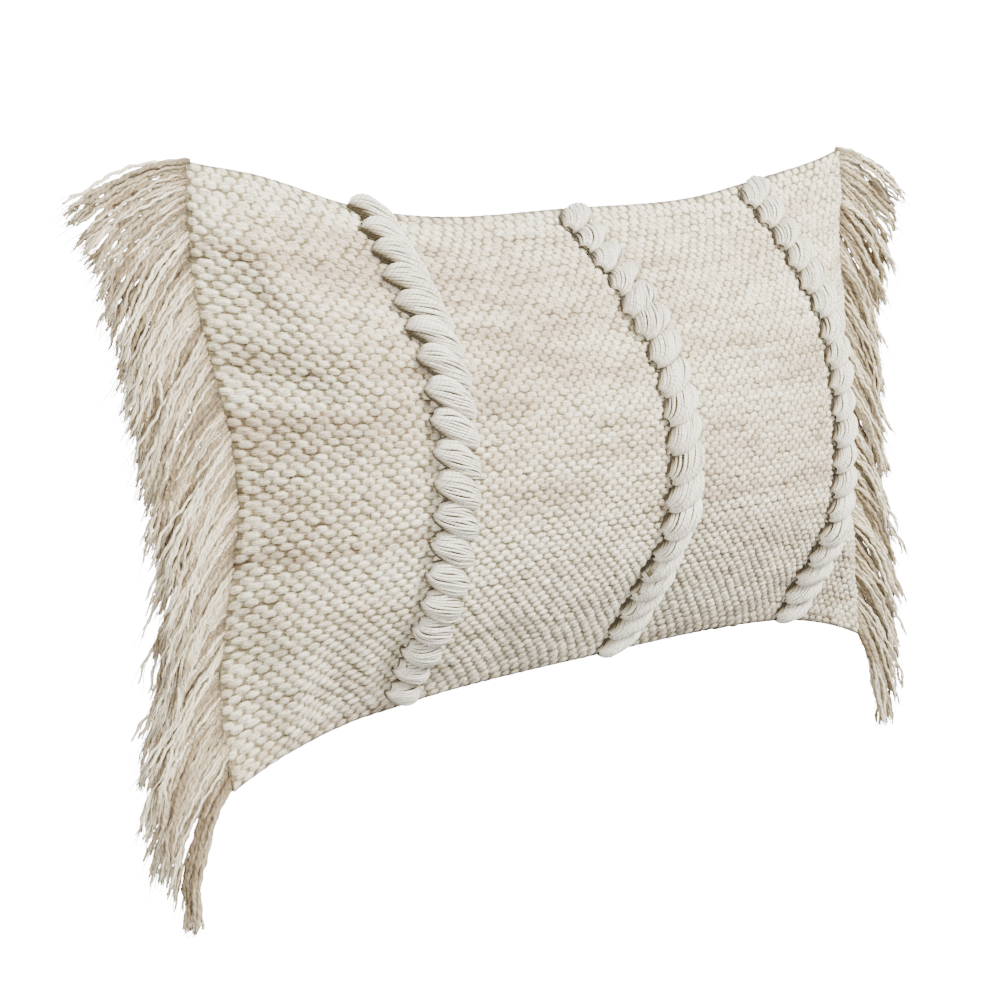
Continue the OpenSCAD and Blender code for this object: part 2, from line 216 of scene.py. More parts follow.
def new_material(name):
    """An empty material with its output, and a way to add a node and link its sockets in one line."""
    material = bpy.data.materials.new(name)
    material.use_nodes = True
    tree = material.node_tree
    tree.nodes.clear()

    def add(kind, values=(), links=(), **settings):
        node = tree.nodes.new("ShaderNode" + kind)
        for key, value in settings.items():
            setattr(node, key, value)
        for key, value in dict(values).items():
            node.inputs[key].default_value = value
        for key, source in dict(links).items():
            tree.links.new(source, node.inputs[key])
        return node

    return material, add


def colour_steps(node, steps):
    """Sets a colour ramp's steps, each a place and a colour."""
    while len(node.color_ramp.elements) < len(steps):
        node.color_ramp.elements.new(1.0)
    for element, (place, colour) in zip(node.color_ramp.elements, steps):
        element.position = place
        element.color = (*colour, 1)


def times(add, first, second, share=1.0):
    """Darkens the first colour by the second one, and returns the socket with the result."""
    mix = add("Mix", {0: share}, {6: first, 7: second}, data_type="RGBA", blend_type="MULTIPLY")
    return mix.outputs[2]


def plain_cloth(name, pale, deep, grain, bump, roughness=0.9, sheen=0.2):
    """Fine cotton or polyester: a small even grain with soft unevenness in its colour."""
    material, add = new_material(name)
    place = add("TexCoord").outputs["Object"]
    patches = add("TexNoise", {"Scale": grain / 18, "Detail": 3.0}, {"Vector": place})
    fine = add("TexNoise", {"Scale": grain, "Detail": 5.0, "Roughness": 0.7}, {"Vector": place})
    both = add("Math", {1: 0.5}, {0: fine.outputs[0], 2: patches.outputs[0]}, operation="MULTIPLY_ADD")
    ramp = add("ValToRGB", links={"Fac": both.outputs[0]})
    colour_steps(ramp, [(0.45, deep), (0.95, pale)])
    relief = add("Bump", {"Strength": 0.6, "Distance": bump}, {"Height": fine.outputs[0]})
    cloth = add(
        "BsdfPrincipled",
        {"Roughness": roughness, "Sheen Weight": sheen, "Sheen Roughness": 0.5, "Specular IOR Level": 0.2},
        {"Base Color": ramp.outputs[0], "Normal": relief.outputs[0]},
    )
    add("OutputMaterial", links={"Surface": cloth.outputs[0]})
    return material


def stuffed_grid(side, across, up, margin, out, draw=None, lumps=0.0):
    """Points of the form, margin metres in from its seams and out metres above it, with soft lumps."""
    u, v = grid_places(across, up)
    bulge = soft_noise(draw, u.shape, (9, 14)) * lumps if draw is not None else 0
    full = (1 - u**4) * (1 - v**4)
    share_w = 1 - margin / half_w
    share_h = 1 - margin / (half_h - long_pull)
    return on_form(side, u * share_w, v * share_h, out + bulge * full)


insert_margin = 0.017
filling_margin = insert_margin + 0.003
filling_depth = -0.0062
filling_draw = np.random.default_rng(11)
filling_front = stuffed_grid(-1, 90, 58, filling_margin, filling_depth, filling_draw, 0.0012)
filling_back = stuffed_grid(1, 90, 58, filling_margin, filling_depth, filling_draw, 0.0012)
filling = closed_cloth("insert_filling_fibre", -1, filling_front, filling_back)
filling.data.materials.append(
    plain_cloth("polyester_fibre", (0.86, 0.86, 0.85), (0.70, 0.70, 0.69), 260, 0.0012, 0.95, 0.4)
)
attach(filling, "cover")
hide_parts("insert_filling")

# ---- Insert ----
# A plain white cotton bag of two panels around the filling, a little smaller than the cover and sewn
# shut all round with white thread.
casing_cotton = plain_cloth("casing_cotton", (0.84, 0.84, 0.82), (0.72, 0.72, 0.70), 900, 0.0003)
casing_depth = -0.0036
casing_wall = 0.0008
casing_draw = np.random.default_rng(12)
for side, end in ((-1, "front"), (1, "back")):
    outside = stuffed_grid(side, 120, 76, insert_margin, casing_depth, casing_draw, 0.0004)
    inside = stuffed_grid(side, 40, 26, insert_margin + 0.002, casing_depth - casing_wall)
    casing = closed_cloth("insert_casing_" + end, side, outside, inside)
    casing.data.materials.append(casing_cotton)
    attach(casing, "cover")
    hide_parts(f"insert_{end}_casing")


def lay_yarns(name, paths, radius, outwards, sides=6, plies=0.0, twist=None):
    """One mesh of many round yarns. paths is (yarns, rings, 3), radius is for each yarn and ring, and
    outwards is a direction away from the cloth. plies is how deep the groove between two plies is,
    and twist how far the plies have turned at each ring. The yarns lie in the mesh one after another."""
    yarns, rings, _ = paths.shape
    strip = bmesh.new()
    strip.loops.layers.uv.new("UVMap")
    bmesh.ops.create_grid(strip, x_segments=rings + 1, y_segments=sides, size=1, calc_uvs=True)
    mesh = bpy.data.meshes.new(name + "_strip")
    strip.to_mesh(mesh)
    strip.free()
    one = bpy.data.objects.new(name + "_strip", mesh)
    scene.collection.objects.link(one)
    array = one.modifiers.new("Array", "ARRAY")
    array.count = yarns
    array.use_relative_offset = False
    many = bpy.data.meshes.new_from_object(one.evaluated_get(bpy.context.evaluated_depsgraph_get()))
    many.name = name
    bpy.data.objects.remove(one)
    ahead = np.gradient(paths, axis=1)
    ahead /= np.linalg.norm(ahead, axis=-1, keepdims=True)
    up = outwards - (outwards * ahead).sum(-1, keepdims=True) * ahead
    up /= np.linalg.norm(up, axis=-1, keepdims=True)
    across = np.cross(ahead, up)
    turned = np.zeros((yarns, rings)) if twist is None else twist
    points = np.empty((yarns, sides + 1, rings + 2, 3))
    for k in range(sides + 1):
        angle = 2 * math.pi * (k % sides) / sides
        reach = radius * (1 - plies * abs(math.sin(angle)))
        a, b = np.cos(angle + turned) * reach, np.sin(angle + turned) * reach
        points[:, k, 1:-1] = paths + a[..., None] * up + b[..., None] * across
    points[:, :, 0] = paths[:, None, 0] - 0.5 * (ahead * radius[..., None])[:, None, 0]
    points[:, :, -1] = paths[:, None, -1] + 0.5 * (ahead * radius[..., None])[:, None, -1]
    many.vertices.foreach_set("co", points.ravel())
    piece = bpy.data.objects.new(name, many)
    scene.collection.objects.link(piece)
    return piece


def dye_and_shade_yarns(piece, tan, painted_light_share):
    """Stores how tan each yarn is and, ring by ring, a painted shade for how openly it lies to the light,
    as the yarns' tone-and-shade colour attribute.
    """
    yarns, rings = painted_light_share.shape
    sides = len(piece.data.vertices) // (yarns * (rings + 2))
    ends = np.concatenate([painted_light_share[:, :1], painted_light_share, painted_light_share[:, -1:]], 1)
    dye_and_shade = np.ones((yarns, sides, rings + 2, 4), np.float32)
    dye_and_shade[..., 0] = np.asarray(tan)[:, None, None]
    # Second channel: painted shade, 1 where a yarn lies open to the light and less where it lies in shade.
    dye_and_shade[..., 1] = ends[:, None]
    piece.data.attributes.new("dye_and_shade", "FLOAT_COLOR", "POINT").data.foreach_set("color", dye_and_shade.ravel())


def close_yarns(piece):
    """Welds each yarn's long edge and its two ends, and turns its faces outwards."""
    bm = bmesh.new()
    bm.from_mesh(piece.data)
    bmesh.ops.remove_doubles(bm, verts=bm.verts, dist=2e-7)
    bmesh.ops.recalc_face_normals(bm, faces=bm.faces)
    bm.to_mesh(piece.data)
    bm.free()
    piece.data.shade_smooth()


def run_of_stitches(u, v, inset, pitch, depth, thread):
    """A thread sewn from cloth to cloth along a seam, between two ends in u and v: its path and radius."""
    fine_u = np.linspace(u[0], u[1], 400)
    fine_v = np.linspace(v[0], v[1], 400)
    line = drawn_in(fine_u, fine_v) + middle
    if u[0] == u[1]:
        line[:, 0] -= np.sign(line[:, 0]) * inset
    else:
        line[:, 2] -= np.sign(line[:, 2] - middle[2]) * inset
    far = np.concatenate([[0], np.cumsum(np.linalg.norm(np.diff(line, axis=0), axis=1))])
    rings = int(far[-1] / pitch * 6)
    at = np.linspace(0, far[-1], rings)
    path = np.stack([np.interp(at, far, line[:, k]) for k in range(3)], -1)
    path[:, 1] += depth * np.clip(1.6 * np.sin(2 * math.pi * at / pitch), -1, 1)
    return path[None], np.full((1, rings), thread / 2)


def sew(name, runs, node, finish):
    """One piece of thread runs that stands for a CAD seam."""
    parts = []
    for number, (path, radius) in enumerate(runs):
        outwards = np.broadcast_to([0.0, 1.0, 0.001], path.shape)
        parts.append(lay_yarns(f"{name}_{number}", path, radius, outwards, sides=8))
    bm = bmesh.new()
    for part in parts:
        bm.from_mesh(part.data)
        bpy.data.objects.remove(part)
    mesh = bpy.data.meshes.new(name)
    bm.to_mesh(mesh)
    bm.free()
    piece = bpy.data.objects.new(name, mesh)
    scene.collection.objects.link(piece)
    close_yarns(piece)
    mesh.materials.append(finish)
    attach(piece, "cover")
    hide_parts(node)


white_thread = plain_cloth("white_thread", (0.86, 0.86, 0.84), (0.66, 0.66, 0.64), 2600, 0.0001, 0.7)
insert_inset = insert_margin + 0.001
insert_pitch = 0.009
insert_thread_d = 0.0006
insert_end = 1 - 1.2 * insert_margin / half_w
insert_top = 1 - 1.2 * insert_margin / half_h
insert_runs = []
for s in (-1, 1):
    for run_u, run_v in (((-insert_end, insert_end), (s, s)), ((s, s), (-insert_top, insert_top))):
        stitches = run_of_stitches(run_u, run_v, insert_inset, insert_pitch, 0.0003, insert_thread_d)
        insert_runs.append(stitches)
sew("insert_seam_thread", insert_runs, "insert_seam_stitching", white_thread)

# ---- Cover ----
# A front and a back panel of thick hand-woven cotton. Soft roving floats over one warp and dives
# under the next, in brick order, so the face is a field of plump oval floats with dark gaps between.
# The roving was spun from ivory and beige fibre, which shows as tan floats and pale streaks.
rows = 82
warps = 134
float_rise = 0.0020
rim_w = 0.004
lining_depth = -0.0012
zip_half_l = (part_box("zipper_front_teeth")[1].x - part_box("zipper_front_teeth")[0].x) / 2
slot_half_gap = front_high.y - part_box("zipper_front_tape")[0].y + 0.001


def opening(x, v):
    """How far a panel's edge stands off the seam plane: a millimetre, and more beside the zipper."""
    share = np.clip((zip_half_l + 0.044 - np.abs(x)) / 0.030, 0, 1)
    share = share * share * (3 - 2 * share)
    return 0.001 + (slot_half_gap - 0.001) * share * np.clip(-v, 0, 1) ** 6


def woven_relief(draw, u, v):
    """Height of the weave over the cloth, how deep a point lies in it, and how tan its float is."""
    shape = u.shape
    s = (u + 1) / 2 * warps + 0.22 * soft_noise(draw, shape, (16, 26))
    t = (v + 1) / 2 * rows + 0.20 * soft_noise(draw, shape, (16, 26))
    count = (rows + 4, warps // 2 + 4)
    streaks = soft_noise(draw, count, (rows // 2, 9)) * 0.75 + soft_noise(draw, count, (rows, 16)) * 0.65
    blotches = soft_noise(draw, count, (10, 12)) * 0.35
    tan = np.clip(0.40 + streaks + blotches + draw.normal(0, 0.16, count), 0, 1)
    wide = 1 + draw.normal(0, 0.06, count)
    tall = 1 + draw.normal(0, 0.05, count)
    lift = 1 + draw.normal(0, 0.13, count)
    aside = draw.normal(0, 0.06, (2, *count))
    height = np.full(shape, -1.0)
    tint = np.zeros(shape)
    for step in (0, -1, 1):
        row = np.clip(np.floor(t).astype(int) + step, -1, rows)
        shift = (row % 2) + 0.5
        k = np.round((s - shift) / 2).astype(int)
        at = (row + 2, np.clip(k + 1, 0, count[1] - 1))
        dx = s - shift - 2 * k - aside[0][at]
        dz = t - row - 0.5 - aside[1][at]
        q = (np.abs(dx / (0.90 * wide[at])) ** 2.3 + np.abs(dz / (0.61 * tall[at])) ** 2.3) ** (1 / 2.3)
        rise = lift[at] * np.clip(1 - q * q, 0, 1) ** 0.55
        warp = ((np.abs(dx) - 1) / 0.34) ** 2 + (dz / 0.62) ** 2
        rise = np.maximum(rise, 0.26 * np.sqrt(np.clip(1 - warp, 0, 1)))
        higher = rise > height
        height = np.where(higher, rise, height)
        tint = np.where(higher, tan[at], tint)
    edge = np.minimum((1 - np.abs(u)) * warps, (1 - np.abs(v)) * rows) / 1.6
    return height * (0.25 + 0.75 * np.clip(edge, 0, 1)), tint


def woven_cotton():
    """Floats of soft roving: tint from the tone, painted shade in the gaps, with fine fibres along each
    float.
    """
    material, add = new_material("woven_cotton")
    dye_and_shade = add("SeparateColor", links={"Color": add("Attribute", attribute_name="dye_and_shade").outputs["Color"]})
    across = add("TexCoord").outputs["UV"]
    lines = add("Mapping", {"Scale": (warps * 0.7, rows * 4.2, 1)}, {"Vector": across})
    fibres = add(
        "TexNoise",
        {"Scale": 1.0, "Detail": 4.0, "Roughness": 0.65, "Distortion": 0.6},
        {"Vector": lines.outputs[0]},
    )
    fuzz = add("TexNoise", {"Scale": 1100.0, "Detail": 4.0}, {"Vector": add("TexCoord").outputs["Object"]})
    ramp = add("ValToRGB", links={"Fac": dye_and_shade.outputs[0]})
    ivory, beige, tan = (0.87, 0.82, 0.635), (0.775, 0.70, 0.525), (0.56, 0.465, 0.335)
    colour_steps(ramp, [(0.0, ivory), (0.40, beige), (1.0, tan)])
    hairs = add("Math", {1: 0.6}, {0: fuzz.outputs[0], 2: fibres.outputs[0]}, operation="MULTIPLY_ADD")
    streak = add("ValToRGB", links={"Fac": hairs.outputs[0]})
    colour_steps(streak, [(0.68, (0.42, 0.37, 0.28)), (0.82, (0.88, 0.87, 0.83)), (0.94, (1, 1, 1))])
    mixed = times(add, ramp.outputs[0], streak.outputs[0], 0.85)
    # Painted shade: the lower a point lies in the weave, the darker its colour, near black at the bottom
    # of the gaps.
    painted_gap_shade = add("ValToRGB", links={"Fac": dye_and_shade.outputs[1]})
    colour_steps(painted_gap_shade, [(0.0, (0.06, 0.05, 0.03)), (0.28, (0.40, 0.36, 0.275)), (0.58, (1, 1, 1))])
    deep = times(add, mixed, painted_gap_shade.outputs[0])
    heights = add("Math", {1: 0.35}, {0: fuzz.outputs[0], 2: fibres.outputs[0]}, operation="MULTIPLY_ADD")
    relief = add("Bump", {"Strength": 0.75, "Distance": 0.0009}, {"Height": heights.outputs[0]})
    cloth = add(
        "BsdfPrincipled",
        {"Roughness": 0.92, "Sheen Weight": 0.25, "Sheen Roughness": 0.5, "Specular IOR Level": 0.15},
        {"Base Color": deep, "Normal": relief.outputs[0]},
    )
    add("OutputMaterial", links={"Surface": cloth.outputs[0]})
    return material


cover_cotton = woven_cotton()
for side, end, samples in ((-1, "front", 5), (1, "back", 3)):
    weave_draw = np.random.default_rng(20 + side)
    u, v = grid_places(warps * samples, rows * samples)
    height, tint = woven_relief(weave_draw, u, v)
    face = on_form(side, u, v, height * float_rise - 0.3 * float_rise)
    face[..., 1] += side * opening(face[..., 0], v)
    u, v = grid_places(66, 42)
    share_w, share_h = 1 - rim_w / half_w, 1 - rim_w / (half_h - long_pull)
    lining = on_form(side, u * share_w, v * share_h, lining_depth)
    lining[..., 1] += side * opening(lining[..., 0], v)
    panel = closed_cloth(end + "_panel_weave", side, face, lining)
    dye_and_shade = np.zeros((len(panel.data.vertices), 4), np.float32)
    dye_and_shade[:, 3] = 1
    dye_and_shade[: tint.size, 0] = tint.ravel()
    # The second channel is the height in the weave, which the cloth reads as painted shade: dark in the
    # gaps and along the flattened rim by the seams.
    dye_and_shade[: tint.size, 1] = np.clip(height.ravel(), 0, 1)
    panel.data.attributes.new("dye_and_shade", "FLOAT_COLOR", "POINT").data.foreach_set("color", dye_and_shade.ravel())
    panel.data.materials.append(cover_cotton)
    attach(panel, "cover")
    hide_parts(end + "_panel")

# ---- Cables ----
# Three raised ridges up the front. Each is a thick bundle of fine white cotton yarns, laid over the
# cloth in slanting wraps that overlap like scales and tuck under the next wrap at their far ends.
wraps = 19
yarn_r = 0.00076
yarn_gap = 2.3
core_share = 0.78
shortest_yarn = 0.15


def spun_cotton(name, pale, tan, line_scale, twists):
    """Two-ply yarn: tone from the colour attribute, painted shade where a yarn lies in a crevice or under
    others, painted shade in the twist grooves, and hair-fine lines.
    """
    material, add = new_material(name)
    dye_and_shade = add("SeparateColor", links={"Color": add("Attribute", attribute_name="dye_and_shade").outputs["Color"]})
    flat = add("TexCoord").outputs["UV"]
    along = add("Mapping", {"Scale": line_scale}, {"Vector": flat})
    lines = add("TexNoise", {"Scale": 1.0, "Detail": 4.0, "Roughness": 0.6}, {"Vector": along.outputs[0]})
    fuzz = add("TexNoise", {"Scale": 1800.0, "Detail": 2.0}, {"Vector": add("TexCoord").outputs["Object"]})
    turns = add("Mapping", {"Scale": (twists * 0.4 * math.pi, 0.4 * math.pi, 0)}, {"Vector": flat})
    ply = add("TexWave", {"Scale": 1.0}, {"Vector": turns.outputs[0]}, bands_direction="DIAGONAL")
    ramp = add("ValToRGB", links={"Fac": dye_and_shade.outputs[0]})
    colour_steps(ramp, [(0.0, pale), (1.0, tan)])
    both = add("Math", {1: 0.5}, {0: ply.outputs[1], 2: lines.outputs[0]}, operation="MULTIPLY_ADD")
    # Painted shade in the twist grooves between the plies, broken up by fibre lines.
    painted_groove_shade = add("ValToRGB", links={"Fac": both.outputs[0]})
    colour_steps(painted_groove_shade, [(0.40, (0.52, 0.48, 0.41)), (0.72, (1, 1, 1))])
    # Painted shade: the second channel darkens a yarn where it lies in a crevice or under others, down to
    # near black.
    painted_crevice_shade = add("ValToRGB", links={"Fac": dye_and_shade.outputs[1]})
    colour_steps(painted_crevice_shade, [(0.0, (0.10, 0.08, 0.05)), (0.45, (0.55, 0.50, 0.42)), (1.0, (1, 1, 1))])
    mixed = times(add, times(add, ramp.outputs[0], painted_groove_shade.outputs[0]), painted_crevice_shade.outputs[0])
    heights = add("Math", {1: 0.3}, {0: fuzz.outputs[0], 2: both.outputs[0]}, operation="MULTIPLY_ADD")
    relief = add("Bump", {"Strength": 0.7, "Distance": 0.0005}, {"Height": heights.outputs[0]})
    cloth = add(
        "BsdfPrincipled",
        {"Roughness": 0.85, "Sheen Weight": 0.2, "Sheen Roughness": 0.4, "Specular IOR Level": 0.2},
        {"Base Color": mixed, "Normal": relief.outputs[0]},
    )
    add("OutputMaterial", links={"Surface": cloth.outputs[0]})
    return material


class Cable:
    """One ridge: its places at the bottom, middle and top, and the size and twist of its wraps."""

    def __init__(self, name, places, slant, half_l, girth, turn):
        self.name = name
        self.run = np.polyfit((-1, 0, 1), places, 2)
        self.tilt = math.radians(slant)
        self.half_l = half_l
        self.girth = girth
        self.turn = turn
        self.places = np.linspace(-1, 1, 400)
        line = on_form(-1, np.polyval(self.run, self.places), self.places)
        self.lengths = np.concatenate([[0], np.cumsum(np.linalg.norm(np.diff(line, axis=0), axis=1))])

    def radius(self, s, girth):
        """Radius of a wrap at s: blunt at its left end, drawn out to a point at its right end."""
        blunt = (1 - np.abs(0.97 * np.minimum(s, 0)) ** 3.2) ** 0.5
        drawn_out = (1 - np.abs(0.97 * np.maximum(s, 0)) ** 1.9) ** 0.8
        return girth * (0.12 + 0.88 * blunt * drawn_out) * (1 - 0.06 * s)

    def point(self, at, s, angle, girth, share=1.0):
        """Points on the wrap at this place: s runs along it from the left, angle goes round it."""
        r = self.radius(s, girth)
        side_way = share * r * np.sin(angle)
        hook = 0.0042 * np.clip(-s - 0.25, 0, 1) ** 2
        across = s * self.half_l * math.cos(self.tilt) + side_way * math.sin(self.tilt)
        along = at - s * self.half_l * math.sin(self.tilt) + side_way * math.cos(self.tilt) - hook
        rise = r * (0.62 + share * (0.95 * np.cos(angle) - 0.10 * np.sin(angle)))
        rise = rise - 0.0008 - 0.0016 * (s + 1) / 2
        v = np.interp(along, self.lengths, self.places)
        u = np.polyval(self.run, v) + across / half_w
        place = on_form(-1, u, v, rise)
        place[..., 1] -= opening(place[..., 0], v)
        return place, on_form(-1, u, v, middle_only=True)


cable_yarn = spun_cotton("cable_cotton", (0.84, 0.795, 0.665), (0.50, 0.45, 0.34), (14, 3, 1), 9)
cables = (
    Cable("left", (-0.58, -0.57, -0.56), 38, 0.0176, 0.0077, 0.85),
    Cable("middle", (0.065, 0.065, 0.015), -29, 0.0165, 0.0079, 1.35),
    Cable("right", (0.70, 0.715, 0.625), -29, 0.0165, 0.0079, 1.35),
)
for number, cable in enumerate(cables):
    cable_draw = np.random.default_rng(31 + number)
    paths, ways, tans, painted_side_shade = [], [], [], []
    core_paths, core_ways, core_r = [], [], []
    for wrap in range(wraps):
        at = 0.006 + (cable.lengths[-1] - 0.007) * (wrap + 0.5) / wraps + cable_draw.normal(0, 0.0004)
        to_end = np.interp(wrap, [0, 1.5, wraps - 3, wraps - 1], [0.86, 1, 1, 1.05])
        girth = cable.girth * to_end * (1 + cable_draw.normal(0, 0.025))
        tone = cable_draw.uniform(0, 0.25)
        for start in np.arange(-3.7, 3.71, yarn_r * yarn_gap / cable.girth):
            turn = cable.turn + cable_draw.normal(0, 0.05)
            first = max(-1, (-2.0 - start) / turn)
            last = min(1, (2.0 - start) / turn)
            if last - first < shortest_yarn:
                continue
            s = np.linspace(first, last, 18)
            sway = 0.04 * np.sin(s * 4 + cable_draw.uniform(0, 6))
            level = girth * (1 + cable_draw.normal(0, 0.03))
            angle = start + turn * s + sway
            path, way = cable.point(at, s, angle, level)
            paths.append(path)
            ways.append(way)
            tans.append(np.clip(tone + cable_draw.normal(0.0, 0.12), 0, 0.6))
            # Painted shade: a yarn darkens as it turns down the side of its wrap, into the crevice between
            # wraps.
            painted_side_shade.append(np.clip((np.cos(angle) - 0.10) / 0.56, 0, 1))
        s = np.linspace(-0.80, 0.95, 14)
        core, way = cable.point(at, s, 0 * s, girth, share=0.0)
        core_paths.append(core)
        core_ways.append(way)
        core_r.append(cable.radius(s, girth) * core_share)
    paths = np.array(paths)
    thickness = np.full(paths.shape[:2], yarn_r)
    piece = lay_yarns(cable.name + "_cable_yarns", paths, thickness, np.array(ways))
    dye_and_shade_yarns(piece, tans, np.array(painted_side_shade))
    core = lay_yarns(
        cable.name + "_cable_core", np.array(core_paths), np.array(core_r), np.array(core_ways), sides=12
    )
    # The core is painted at full tan and a quarter of its light: painted shade for a core that lies under
    # the yarns.
    dye_and_shade_yarns(core, np.full(wraps, 1.0), np.full((wraps, 14), 0.25))
    for each in (piece, core):
        close_yarns(each)
        each.data.materials.append(cable_yarn)
        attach(each, "cover")
    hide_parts(cable.name + "_cable")

# ---- Seams of the cover ----
# The panels are sewn face to face and turned, so only a dark line with glimpses of spun thread
# shows. The bottom seam is sewn at its two ends, and the zipper closes the rest.
ivory_thread = plain_cloth("ivory_thread", (0.72, 0.66, 0.54), (0.50, 0.44, 0.33), 2600, 0.0001, 0.7)
thread_d = 0.0008
seam_inset = 0.002
stitch_pitch = 0.006
far_u = 0.952
zip_end_u = (zip_half_l + 0.046) / half_w
top = run_of_stitches((-far_u, far_u), (1, 1), seam_inset, stitch_pitch, 0.0007, thread_d)
sew("top_seam_thread", [top], "top_seam_stitching", ivory_thread)
bottom = []
for s in (-1, 1):
    run_u = (s * zip_end_u, s * far_u)
    bottom.append(run_of_stitches(run_u, (-1, -1), seam_inset, stitch_pitch, 0.0007, thread_d))
sew("bottom_seam_thread", bottom, "bottom_seam_stitching", ivory_thread)
for s, name in ((-1, "left"), (1, "right")):
    run = run_of_stitches((s, s), (-0.96, 0.96), seam_inset, stitch_pitch, 0.0009, thread_d)
    sew(name + "_seam_thread", [run], name + "_seam_stitching", ivory_thread)

# ---- Fringe ----
# Twisted two-ply cotton yarns, ivory with some tan, knotted side by side on a narrow woven tape that
# is caught in each short seam. They leave the seam level, droop in loose clumps and fray at the ends.
fringe_l = 0.086
clumps = 104
yarns_in_clump = 5
fringe_rings = 40
fringe_yarn_r = 0.00118
ply_groove = 0.24
twist_pitch = 0.016
crimp_pitch = 0.0115
hairs = 2
hair_rings = 6
tape_w = 0.011


def fringe_paths(draw, side, v, loose):
    """Paths of fringe yarns that leave the side seam at v, and how loosely each clump of them sways."""
    number = len(v)
    clump = np.arange(number) // (2 * yarns_in_clump)
    clump_of = draw.normal(0, 1, (clump.max() + 1, 6))[clump]
    own = draw.normal(0, 1, (number, 6))
    s = np.linspace(0, 1, fringe_rings)[None]
    places = [-1, -0.85, -0.5, 0, 0.55, 0.8, 1]
    droop = 3 * (side + 1) * (1 - v**4)
    root = np.interp(v, places, [48, 35, 31, 34, 40, 28, -3]) + droop
    root = root + loose * (2.2 * clump_of[:, 0] + 3 * own[:, 0])
    tip = np.interp(v, places, [93, 75, 66, 66, 68, 66, 34]) + droop
    tip = tip + loose * (5 * clump_of[:, 1] + 5 * own[:, 1])
    length = fringe_l * np.interp(v, [-1, -0.8, 0.2, 0.8, 1], [1.05, 1, 1, 0.9, 0.84])
    length = length * (1 + 0.02 * clump_of[:, 2] + 0.025 * own[:, 2])
    bend = s ** (0.75 + 0.1 * clump_of[:, 3:4])
    wave = 8 * np.sin(2 * math.pi * (s * 1.3 + own[:, 3:4])) * s
    wave = wave + 5 * np.sin(2 * math.pi * (s * 3.3 + own[:, 4:5])) * s
    angle = np.radians(root[:, None] + (tip - root)[:, None] * bend + wave)
    step = (length / (fringe_rings - 1))[:, None]
    out = np.cumsum(np.cos(angle) * step, axis=1) - step
    down = np.cumsum(np.sin(angle) * step, axis=1) - step
    crimp = 0.00042 * np.sin(2 * math.pi * (s * length[:, None] / crimp_pitch + own[:, 5:6]))
    crimp = crimp * np.clip(s * 6, 0, 1)
    start = drawn_in(np.full(number, float(side)), v) + middle
    spread = 0.0024 * clump_of[:, 4:5] + s * 0.0052 * clump_of[:, 5:6]
    spread = loose[:, None] * spread + 0.0010 * own[:, 1:2] + 0.0022 * s * own[:, 2:3]
    depth = 0.0016 * np.sin(2 * math.pi * (s * 2.2 + own[:, 0:1])) * s
    path = np.empty((number, fringe_rings, 3))
    path[..., 0] = start[:, None, 0] + side * (out - 0.003 + crimp * np.sin(angle))
    root_fade = np.clip(s * 5, 0, 1)
    path[..., 1] = start[:, None, 1] + np.clip(spread, -0.008, 0.008) * (0.12 + 0.88 * root_fade) + depth
    path[..., 2] = start[:, None, 2] - down + crimp * np.cos(angle)
    path[..., 2] = np.maximum(path[..., 2], 0.0015 + 0.004 * np.abs(own[:, 5:6]))
    return path, clump


